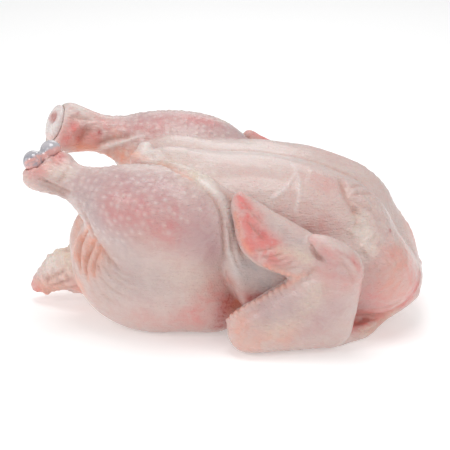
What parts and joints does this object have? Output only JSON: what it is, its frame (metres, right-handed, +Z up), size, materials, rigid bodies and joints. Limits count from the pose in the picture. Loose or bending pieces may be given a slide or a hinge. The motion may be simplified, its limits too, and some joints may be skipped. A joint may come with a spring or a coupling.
{
  "type": "whole raw chicken",
  "caption": "Whole raw chicken, plucked and drawn, lying on its back with drumsticks raised, wings folded at its sides and the vent open.",
  "frame": {"origin": "middle of the footprint, on the flat that the bird's back rests on", "axes": "+X from the tail to the neck end, along the length; +Z up, out through the breast; the bird's left side faces -Y"},
  "size_m": [0.2861, 0.1976, 0.1381],
  "materials": {
    "skin": "moist, soft sheen",
    "knuckle_gristle": "wet gloss",
    "face_gristle": "wet gloss"
  },
  "bodies": {
    "root": {"carcass": "skin", "hock_left": "knuckle_gristle", "hock_right": "face_gristle"}
  },
  "joints": []
}
